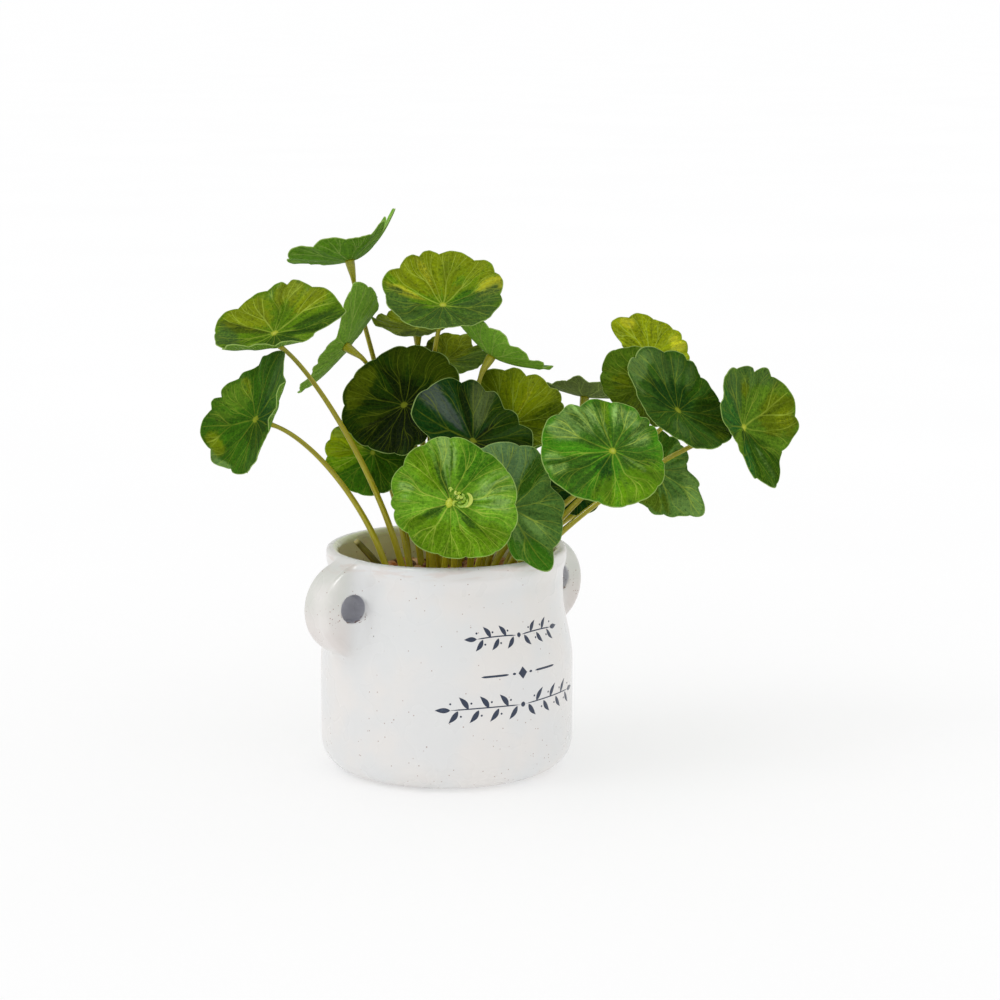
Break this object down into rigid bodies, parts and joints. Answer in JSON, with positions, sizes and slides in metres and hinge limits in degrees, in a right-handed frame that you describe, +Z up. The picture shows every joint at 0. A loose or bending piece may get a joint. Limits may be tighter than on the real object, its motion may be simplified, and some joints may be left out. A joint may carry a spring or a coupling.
{
  "type": "potted asiatic pennywort",
  "caption": "Pennywort with round, scalloped leaves on slender stalks, standing in soil under pebbles in a white glazed crock with two pierced ears.",
  "frame": {"origin": "middle of the crock's flat base", "axes": "+Z up, -Y towards the crock's front, +X towards its right ear seen from the front"},
  "size_m": [0.2265, 0.1782, 0.2413],
  "materials": {
    "glaze": "glossy white glaze with fine specks",
    "leaf": "waxy leaf",
    "stalk": "smooth fleshy stalk",
    "bud": "soft bud",
    "pebble": "rough natural stone",
    "soil": "damp potting soil"
  },
  "bodies": {
    "root": {"pot": "glaze", "soil": "soil", "pebbles": "pebble", "blade_01": "leaf", "blade_02": "leaf", "blade_03": "leaf", "blade_04": "leaf", "blade_05": "leaf", "blade_06": "leaf", "blade_07": "leaf", "blade_08": "leaf", "blade_09": "leaf", "blade_10": "leaf", "blade_11": "leaf", "blade_12": "leaf", "blade_13": "leaf", "blade_14": "leaf", "blade_15": "leaf", "blade_16": "leaf", "blade_17": "leaf", "blade_18": "leaf", "blade_19": "leaf", "blade_20": "leaf", "blade_21": "leaf", "blade_22": "leaf", "blade_23": "leaf", "blade_24": "leaf", "blade_25": "leaf", "blade_26": "leaf", "stalk_01": "stalk", "stalk_02": "stalk", "stalk_03": "stalk", "stalk_04": "stalk", "stalk_05": "stalk", "stalk_06": "stalk", "stalk_07": "stalk", "stalk_08": "stalk", "stalk_09": "stalk", "stalk_10": "stalk", "stalk_11": "stalk", "stalk_12": "stalk", "stalk_13": "stalk", "stalk_14": "stalk", "stalk_15": "stalk", "stalk_16": "stalk", "stalk_17": "stalk", "stalk_18": "stalk", "stalk_19": "stalk", "stalk_20": "stalk", "stalk_21": "stalk", "stalk_22": "stalk", "stalk_23": "stalk", "stalk_24": "stalk", "stalk_25": "stalk", "stalk_26": "stalk", "flower_buds": "bud", "cut_stalk": "stalk"}
  },
  "joints": []
}
